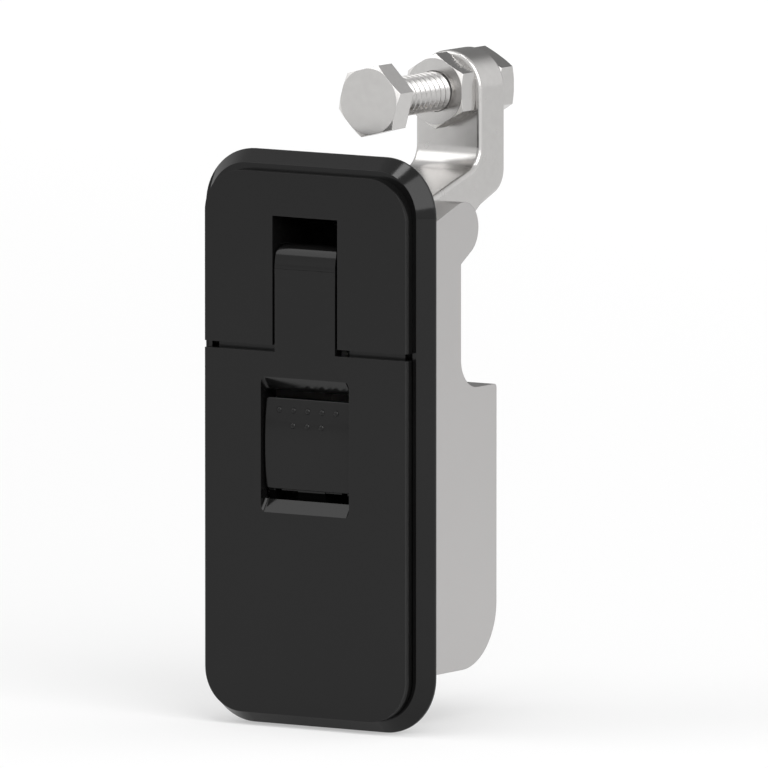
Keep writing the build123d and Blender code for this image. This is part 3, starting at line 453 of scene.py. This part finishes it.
def black_coat(name="black_coat", painted_shade=None):
    """Smooth semi-gloss black powder coat with a very fine orange peel.

    The optional last argument gives painted shade: an axis, the value below which the coat's reflection is
    taken out, and the plain dark tone painted there.
    """
    material, tree, shader = new_material(name)
    peel = pattern(tree, "ShaderNodeTexNoise", (1, 1, 1), Scale=900.0, Detail=2.0)
    cloud = pattern(tree, "ShaderNodeTexNoise", (1, 1, 1), Scale=60.0, Detail=3.0)
    tint = blend_of(tree, cloud.outputs["Fac"], (0.0038, 0.0037, 0.0037), (0.0056, 0.0055, 0.0055))
    colour = tint.outputs["Color"]
    tree.links.new(spread(tree, cloud.outputs["Fac"], 0.10, 0.15), shader.inputs["Roughness"])
    shader.inputs["IOR"].default_value = 1.34
    # painted shade: below the limit the reflection is taken out and a plain tone is painted in
    if painted_shade:
        axis, limit, painted_tone = painted_shade
        along, edge = axes_of(tree)[axis], (limit - PAINTED_SHADE_EDGE, limit)
        tree.links.new(spread(tree, along, 0.0, 0.5, edge), shader.inputs["Specular IOR Level"])
        mix = tree.nodes.new("ShaderNodeMixRGB")
        mix.inputs["Color1"].default_value = (painted_tone, painted_tone, painted_tone, 1)
        tree.links.new(spread(tree, along, 0.0, 1.0, edge), mix.inputs["Fac"])
        tree.links.new(colour, mix.inputs["Color2"])
        colour = mix.outputs["Color"]
    tree.links.new(colour, shader.inputs["Base Color"])
    raised(tree, shader, peel.outputs["Fac"], 0.03, 0.00002, 0.0001)
    return material


def cast_zinc():
    """Satin plated zinc casting, pale warm grey."""
    material, tree, shader = new_material("cast_zinc")
    grain = pattern(tree, "ShaderNodeTexNoise", (1, 1, 1), Scale=1400.0, Detail=3.0)
    cloud = pattern(tree, "ShaderNodeTexNoise", (1, 1, 1), Scale=45.0, Detail=4.0)
    tint = blend_of(tree, cloud.outputs["Fac"], (0.49, 0.48, 0.475), (0.51, 0.50, 0.495))
    tree.links.new(tint.outputs["Color"], shader.inputs["Base Color"])
    tree.links.new(spread(tree, cloud.outputs["Fac"], 0.28, 0.36), shader.inputs["Roughness"])
    shader.inputs["Metallic"].default_value = 1.0
    raised(tree, shader, grain.outputs["Fac"], 0.1, 0.00003, 0.0003)
    return material


def bright_steel(name, brushed, roughness, painted_tone=1.0):
    """Nickel-plated steel with a faint grain; its tone scales the colour, making lighter and darker copies as
    painted light and shade.
    """
    material, tree, shader = new_material(name)
    lines = pattern(tree, "ShaderNodeTexNoise", brushed, Scale=1.0, Detail=4.0)
    fleck = pattern(tree, "ShaderNodeTexNoise", (1, 1, 1), Scale=700.0, Detail=2.0)
    # painted light and shade: the tone makes lighter and darker copies of the same steel
    low, high = (tuple(part * painted_tone for part in colour) for colour in ((0.53, 0.52, 0.51), (0.59, 0.58, 0.57)))
    tint = blend_of(tree, fleck.outputs["Fac"], low, high)
    tree.links.new(tint.outputs["Color"], shader.inputs["Base Color"])
    tree.links.new(spread(tree, lines.outputs["Fac"], *roughness), shader.inputs["Roughness"])
    shader.inputs["Metallic"].default_value = 1.0
    raised(tree, shader, lines.outputs["Fac"], 0.05, 0.00002, 0.00015)
    return material


def plated_steel():
    """Zinc-plated screws, pins and studs: dull silver with a faint blue and straw cast."""
    material, tree, shader = new_material("plated_steel")
    cast = pattern(tree, "ShaderNodeTexNoise", (1, 1, 1), Scale=350.0, Detail=3.0)
    tint = blend_of(tree, cast.outputs["Fac"], (0.56, 0.58, 0.60), (0.66, 0.64, 0.58))
    tree.links.new(tint.outputs["Color"], shader.inputs["Base Color"])
    tree.links.new(spread(tree, cast.outputs["Fac"], 0.25, 0.4), shader.inputs["Roughness"])
    shader.inputs["Metallic"].default_value = 1.0
    raised(tree, shader, cast.outputs["Fac"], 0.08, 0.00002, 0.0001)
    return material


def spring_wire():
    """Drawn spring wire with a light oil film, painted darker as shade, so that it stays dark in the gap
    under the trigger.
    """
    material, tree, shader = new_material("spring_wire")
    draw = pattern(tree, "ShaderNodeTexNoise", (1, 1, 1), Scale=1800.0, Detail=2.0)
    # painted shade: the wire's colour is kept dark
    tint = blend_of(tree, draw.outputs["Fac"], (0.30, 0.29, 0.28), (0.42, 0.41, 0.40))
    tree.links.new(tint.outputs["Color"], shader.inputs["Base Color"])
    tree.links.new(spread(tree, draw.outputs["Fac"], 0.2, 0.32), shader.inputs["Roughness"])
    shader.inputs["Metallic"].default_value = 1.0
    return material


def seal_rubber():
    """Matt black foam rubber with fine open pores."""
    material, tree, shader = new_material("seal_rubber")
    pores = pattern(tree, "ShaderNodeTexVoronoi", (1, 1, 1), Scale=2200.0)
    tint = blend_of(tree, pores.outputs["Distance"], (0.012, 0.012, 0.012), (0.03, 0.03, 0.03))
    tree.links.new(tint.outputs["Color"], shader.inputs["Base Color"])
    tree.links.new(spread(tree, pores.outputs["Distance"], 0.7, 0.9), shader.inputs["Roughness"])
    raised(tree, shader, pores.outputs["Distance"], 0.3, 0.0001)
    return material


def washer_brass():
    """Turned brass with fine lathe marks."""
    material, tree, shader = new_material("washer_brass")
    marks = pattern(tree, "ShaderNodeTexNoise", (1, 1, 1), Scale=900.0, Detail=3.0)
    tint = blend_of(tree, marks.outputs["Fac"], (0.62, 0.44, 0.17), (0.76, 0.56, 0.25))
    tree.links.new(tint.outputs["Color"], shader.inputs["Base Color"])
    tree.links.new(spread(tree, marks.outputs["Fac"], 0.22, 0.36), shader.inputs["Roughness"])
    shader.inputs["Metallic"].default_value = 1.0
    return material


def paint_node(node, material):
    """Gives a CAD node one finish, through its object's own slots."""
    piece = frame["nodes"][node]
    if not piece.material_slots:
        piece.data.materials.append(None)
    for slot in piece.material_slots:
        slot.link = "OBJECT"
        slot.material = material


def coat(piece, material):
    piece.data.materials.clear()
    piece.data.materials.append(material)
    return piece


# ---- camera, floor and lamps ----
def set_camera():
    """A long lens far off, round to the right of the front and a little above it."""
    azimuth = math.radians(VIEW_AZIMUTH)
    tilt = math.radians(VIEW_ELEVATION)
    right = Vector((math.cos(azimuth), math.sin(azimuth), 0))
    back = Vector((math.sin(azimuth) * math.cos(tilt), -math.cos(azimuth) * math.cos(tilt), math.sin(tilt)))
    up = back.cross(right)
    centre = right * VIEW_RIGHT + up * VIEW_UP
    nothing_selected()
    bpy.ops.object.camera_add()
    camera = named(bpy.context.object, "camera")
    camera.matrix_world = Matrix((right, up, back)).transposed().to_4x4()
    camera.location = centre + back * VIEW_DISTANCE
    camera.data.sensor_width = SENSOR
    camera.data.lens = SENSOR * VIEW_DISTANCE / VIEW_WIDTH
    camera.data.clip_end = 50
    bpy.context.scene.camera = camera


def set_world():
    """Soft surroundings, bright overhead and dim behind on the left; plain white where seen directly."""
    world = bpy.data.worlds.new("studio")
    world.use_nodes = True
    bpy.context.scene.world = world
    tree = world.node_tree
    soft = tree.nodes["Background"]
    around = tree.nodes.new("ShaderNodeTexCoord")
    way = tree.nodes.new("ShaderNodeSeparateXYZ")
    tree.links.new(around.outputs["Generated"], way.inputs[0])
    in_front = spread(tree, way.outputs["Z"], SKY_LOW, SKY_HIGH, (0.0, 0.8))
    behind = spread(tree, way.outputs["X"], BACK_LEFT, BACK_RIGHT, (-0.05, 0.3))
    turned_back = spread(tree, way.outputs["Y"], 0.0, 1.0, (0.25, 0.7))
    level = tree.nodes.new("ShaderNodeMix")
    tree.links.new(turned_back, level.inputs["Factor"])
    tree.links.new(in_front, level.inputs["A"])
    tree.links.new(behind, level.inputs["B"])
    tree.links.new(level.outputs["Result"], soft.inputs["Strength"])
    soft.inputs["Color"].default_value = (1, 1, 1, 1)
    white = tree.nodes.new("ShaderNodeBackground")
    white.inputs["Strength"].default_value = 1.0
    path = tree.nodes.new("ShaderNodeLightPath")
    mix = tree.nodes.new("ShaderNodeMixShader")
    tree.links.new(path.outputs["Is Camera Ray"], mix.inputs[0])
    tree.links.new(soft.outputs[0], mix.inputs[1])
    tree.links.new(white.outputs[0], mix.inputs[2])
    tree.links.new(mix.outputs[0], tree.nodes["World Output"].inputs["Surface"])


def floor_finish():
    """Pale matt floor that adds a glow where the camera sees it, and another where it is mirrored."""
    material, tree, shader = new_material("floor_white")
    shader.inputs["Base Color"].default_value = (FLOOR_WHITE, FLOOR_WHITE, FLOOR_WHITE, 1)
    shader.inputs["Roughness"].default_value = 0.9
    shader.inputs["Specular IOR Level"].default_value = 0.1
    path = tree.nodes.new("ShaderNodeLightPath")
    direct = worked_out(tree, "MULTIPLY", path.outputs["Is Camera Ray"],
                        spread(tree, axes_of(tree)["Y"], *SEEN_GLOW, SEEN_REACH))
    mirrored = worked_out(tree, "MAXIMUM", path.outputs["Is Glossy Ray"], path.outputs["Is Transmission Ray"])
    place = tree.nodes.new("ShaderNodeTexCoord")
    away = tree.nodes.new("ShaderNodeVectorMath")
    away.operation = "DISTANCE"
    away.inputs[1].default_value = (*MIRRORED_SPOT, cad_box[0][2])
    tree.links.new(place.outputs["Object"], away.inputs[0])
    near_spot = spread(tree, away.outputs["Value"], *MIRRORED_GLOW, MIRRORED_REACH)
    glow = tree.nodes.new("ShaderNodeEmission")
    tree.links.new(worked_out(tree, "MULTIPLY_ADD", mirrored, near_spot, direct), glow.inputs["Strength"])
    both = tree.nodes.new("ShaderNodeAddShader")
    tree.links.new(shader.outputs[0], both.inputs[0])
    tree.links.new(glow.outputs[0], both.inputs[1])
    tree.links.new(both.outputs[0], tree.nodes["Material Output"].inputs["Surface"])
    return material


def set_floor():
    nothing_selected()
    bpy.ops.mesh.primitive_plane_add(size=FLOOR_SIZE, location=(0, 0, cad_box[0][2]))
    floor = settled(named(bpy.context.object, "floor"))
    coat(floor, floor_finish())


def panel(name, direction, distance, size, brightness):
    """A soft panel that faces the object; its power follows from how bright its surface looks."""
    place = Vector(direction).normalized() * distance
    nothing_selected()
    bpy.ops.object.light_add(type="AREA", location=place)
    light = named(bpy.context.object, name)
    light.rotation_euler = (-place).to_track_quat("-Z", "Y").to_euler()
    light.data.shape = "RECTANGLE"
    light.data.size, light.data.size_y = size
    light.data.energy = brightness * math.pi * size[0] * size[1]


# ---- pieces ----
def grip_bolt(metals, thread):
    """Hex-headed bolt with its thread cut up to the head."""
    middle, half = size_of("grip_bolt")
    axis_point = (middle.x, middle.z)
    front = middle.y - half.y
    tip = middle.y + half.y
    seat = front + HEAD_HEIGHT
    head = hex_prism("grip_bolt", 2 * half_corner("front_jam_nut"), (front, seat), axis_point,
                     HEAD_TURN, False, metals)
    rod = threaded_rod("grip_thread", BOLT_THREAD_R, THREAD_DEPTH, THREAD_PITCH, axis_point,
                       (seat - 0.2 * MM, tip), TIP_CHAMFER)
    bolt = joined([head, coat(rod, thread)], "grip_bolt_threaded")
    smooth(bolt, 20)
    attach(bolt, "grip_bolt")
    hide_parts("grip_bolt")


def half_corner(nut):
    """Half of a nut's width across its corners, which stand straight up."""
    return size_of(nut)[1].z


def jam_nut(node, metals):
    """Thin hex nut, chamfered on both faces, with a chamfered hole."""
    middle, half = size_of(node)
    axis_point = (middle.x, middle.z)
    front, back = middle.y - half.y, middle.y + half.y
    nut = hex_prism(node + "_hex", 2 * half.z, (front, back), axis_point, NUT_TURN, True, metals)
    bore = turned(node + "_bore", [(0, front - MM), (NUT_BORE_R + NUT_MOUTH + MM, front - MM),
                                   (NUT_BORE_R + NUT_MOUTH, front), (NUT_BORE_R, front + NUT_MOUTH),
                                   (NUT_BORE_R, back - NUT_MOUTH), (NUT_BORE_R + NUT_MOUTH, back),
                                   (NUT_BORE_R + NUT_MOUTH + MM, back + MM), (0, back + MM)], axis_point)
    cut_by(nut, bore, "DIFFERENCE")
    smooth(nut, 20)
    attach(nut, "cam")
    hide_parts(node)


def mounting_studs(steel):
    """Threaded studs with a flat collar: one is modelled and copied to the four corners."""
    middle, half = size_of("mounting_studs")
    front, tip = middle.y - half.y, middle.y + half.y
    reach_x, reach_z = half.x - STUD_COLLAR_R, half.z - STUD_COLLAR_R
    place = (middle.x - reach_x, middle.z - reach_z)
    collar = turned("stud_collar", [(0, front), (STUD_COLLAR_R - STUD_EASE, front),
                                    (STUD_COLLAR_R, front + STUD_EASE), (STUD_COLLAR_R, front + STUD_COLLAR),
                                    (0, front + STUD_COLLAR)], place, 48)
    rod = threaded_rod("stud_thread", STUD_R, STUD_THREAD_DEPTH, STUD_PITCH, place,
                       (front + STUD_COLLAR - STUD_EASE, tip), STUD_CHAMFER)
    stud = joined([collar, rod], "stud")
    studs = [stud]
    for right, up in ((1, 0), (0, 1), (1, 1)):
        twin = copy_of(stud, "stud_copy")
        editing(twin)
        bpy.ops.mesh.select_all(action="SELECT")
        bpy.ops.transform.translate(value=(2 * reach_x * right, 0, 2 * reach_z * up))
        bpy.ops.object.mode_set(mode="OBJECT")
        studs.append(twin)
    piece = joined(studs, "mounting_studs_threaded")
    smooth(coat(piece, steel), 30)
    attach(piece, "frame")
    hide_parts("mounting_studs")


def tongue_nose(black):
    """Rounded top end of the tongue: a side profile drawn out across, with its top corners rounded."""
    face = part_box("lever")[0][1]
    pin = size_of("lever_pin")[0]
    half = TONGUE_HALF + TONGUE_PROUD
    foot, start, top = pin.z + NOSE_FOOT, pin.z + NOSE_START, pin.z + NOSE_TOP
    handles = [Vector((-half, face, start)), Vector((-half, face, pin.z + NOSE_SHOULDER)),
               Vector((-half, face + NOSE_BEND, top)), Vector((-half, face + NOSE_FLAT, top))]
    curve = [curve_point(handles, step / NOSE_STEPS) for step in range(NOSE_STEPS + 1)]
    sunk = face + TONGUE_PROUD
    nose = traced("tongue_nose", [(-half, pin.y, foot), (-half, sunk, foot)] + curve
                  + [(-half, pin.y, pin.z + NOSE_HEEL)])
    editing(nose)
    bpy.ops.mesh.select_all(action="SELECT")
    bpy.ops.mesh.edge_face_add()
    bpy.ops.mesh.extrude_region_move(TRANSFORM_OT_translate={"value": (2 * half, 0, 0)})
    bpy.ops.object.mode_set(mode="OBJECT")
    outward(nose)
    nothing_selected()
    bpy.ops.mesh.primitive_cube_add(size=1, location=(0, pin.y, top - NOSE_TOP),
                                    scale=(2 * half, 20 * MM, 2 * NOSE_TOP))
    gate = settled(bpy.context.object)
    editing(gate)
    pick_edges(gate, lambda one, other: min(one.z, other.z) > start and abs(one.x - other.x) < MM)
    bpy.ops.mesh.bevel(offset=NOSE_CORNER_R, segments=10)
    bpy.ops.object.mode_set(mode="OBJECT")
    cut_by(nose, outward(gate), "INTERSECT")
    smooth(coat(outward(nose), black), 30)
    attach(nose, "lever")


def curve_point(handles, share):
    """A point on the smooth curve with these four handles."""
    while len(handles) > 1:
        handles = [one.lerp(other, share) for one, other in zip(handles, handles[1:])]
    return tuple(handles[0])


def pad_surface(height):
    """Depth of the trigger's crowned pad at a height."""
    middle, half = (PAD_TOP + PAD_BOTTOM) / 2, (PAD_TOP - PAD_BOTTOM) / 2
    radius = (half ** 2 + PAD_CROWN ** 2) / (2 * PAD_CROWN)
    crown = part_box("lever")[0][1] + PAD_RECESS
    return crown + radius - math.sqrt(radius ** 2 - (height - middle) ** 2)


def trigger_dots(black):
    """Round raised dots near the pad's top: one cap is modelled and copied to each place."""
    ball = (DOT_R ** 2 + DOT_HEIGHT ** 2) / (2 * DOT_HEIGHT)
    nothing_selected()
    bpy.ops.mesh.primitive_uv_sphere_add(segments=32, ring_count=24, radius=ball, location=(0, 0, 0))
    cap = settled(named(bpy.context.object, "dot"))
    editing(cap)
    bpy.ops.mesh.select_all(action="SELECT")
    bpy.ops.mesh.bisect(plane_co=(0, DOT_HEIGHT - ball + DOT_SUNK, 0), plane_no=(0, 1, 0), use_fill=True,
                        clear_outer=True, threshold=0.001 * MM)
    bpy.ops.object.mode_set(mode="OBJECT")
    dots = []
    for height, count in DOT_ROWS:
        for place in range(count):
            dot = copy_of(cap, "dot_copy")
            across = (place - (count - 1) / 2) * DOT_PITCH
            editing(dot)
            bpy.ops.mesh.select_all(action="SELECT")
            bpy.ops.transform.translate(value=(across, pad_surface(height) - DOT_HEIGHT + ball, height))
            bpy.ops.object.mode_set(mode="OBJECT")
            dots.append(dot)
    bpy.data.objects.remove(cap, do_unlink=True)
    piece = outward(joined(dots, "trigger_dots"))
    smooth(coat(piece, black), 40)
    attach(piece, "trigger")


def trigger_spring(wire):
    """Round-wire torsion spring: a coil about X with two straight legs."""
    middle, half = size_of("trigger_spring")
    axis = Vector((middle.x - SPRING_PITCH * SPRING_TURNS / 2, middle.y,
                   middle.z + half.z - SPRING_COIL_R - SPRING_WIRE_R))
    nothing_selected()
    bpy.ops.mesh.primitive_circle_add(vertices=16, radius=SPRING_WIRE_R,
                                      location=axis + Vector((0, SPRING_COIL_R, 0)))
    coil = named(bpy.context.object, "trigger_spring_wire")
    wound(coil, axis, "X", math.tau * SPRING_TURNS, SPRING_PITCH * SPRING_TURNS, 1)
    leg = 2 * half.z - SPRING_COIL_R - SPRING_WIRE_R
    editing(coil)
    for back in (True, False):
        pick_verts(coil, lambda place: on_open_end(place, axis, back))
        lean = leg * SPRING_PITCH / (math.tau * SPRING_COIL_R)
        bpy.ops.mesh.extrude_region_move(
            TRANSFORM_OT_translate={"value": (-lean if back else lean, 0, -leg)})
        bpy.ops.mesh.edge_face_add()
    bpy.ops.object.mode_set(mode="OBJECT")
    smooth(coat(outward(coil), wire), 40)
    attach(coil, "lever")
    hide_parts("trigger_spring")


def on_open_end(place, axis, back):
    """Whether a point is on the ring that the coil starts from, or on the one that it ends at."""
    along = 0 if back else SPRING_PITCH * SPRING_TURNS
    side = SPRING_COIL_R if back else -SPRING_COIL_R
    centre = axis + Vector((along, side, 0))
    return abs(place.z - centre.z) < 0.001 * MM and (place - centre).length < SPRING_WIRE_R + 0.01 * MM


def dress_nodes(finishes):
    """Every CAD node gets the finish of its slot in the record."""
    by_slot = {"black_finish": "black", "zinc_casting": "zinc", "bright_steel": "cam_steel",
               "plated_steel": "plated", "spring_steel": "spring", "seal_rubber": "rubber",
               "brass_washer": "brass"}
    for part in frame["record"]["subparts"]:
        paint_node(part["node"], finishes[by_slot[part["material_slot"]]])
    paint_node("trigger", finishes["trigger_black_painted_shade"])
    paint_node("bezel_frame", finishes["bezel_black_painted_shade"])


set_camera()
set_world()
set_floor()
for name, direction, distance, size, brightness in PANELS:
    panel(name, direction, distance, size, brightness)

# painted shade: the trigger below its stem top and the bezel left of its limit lose their reflection and get
# a plain tone
finishes = {"black": black_coat(), "trigger_black_painted_shade": black_coat("trigger_black_painted_shade", ("Z", STEM_PAINTED_SHADE_TOP, STEM_PAINTED_SHADE_TONE)),
            "bezel_black_painted_shade": black_coat("bezel_black_painted_shade", ("X", BEZEL_PAINTED_SHADE_X, BEZEL_PAINTED_SHADE_TONE)),
            "zinc": cast_zinc(), "plated": plated_steel(),
            "cam_steel": bright_steel("cam_steel", (260, 260, 260), (0.22, 0.3)),
            "bolt_steel": bright_steel("bolt_steel", (300, 300, 300), (0.16, 0.24), 1.03),
            # painted light: a lighter copy of the bolt steel on the turned cones of head and nuts
            "turned_steel_painted_light": bright_steel("turned_steel_painted_light", (300, 300, 300), (0.4, 0.5), 1.35),
            # painted shade: a darker copy of the bolt steel on the thread
            "thread_steel_painted_shade": bright_steel("thread_steel_painted_shade", (90, 90, 90), (0.2, 0.28), 0.88),
            "spring": spring_wire(), "rubber": seal_rubber(), "brass": washer_brass()}
dress_nodes(finishes)
bolt_metals = (finishes["bolt_steel"], finishes["turned_steel_painted_light"])
grip_bolt(bolt_metals, finishes["thread_steel_painted_shade"])
jam_nut("front_jam_nut", bolt_metals)
jam_nut("rear_jam_nut", bolt_metals)
mounting_studs(finishes["plated"])
tongue_nose(finishes["black"])
trigger_dots(finishes["black"])
trigger_spring(finishes["spring"])

bpy.context.scene.view_settings.view_transform = "Standard"
bpy.context.view_layer.update()
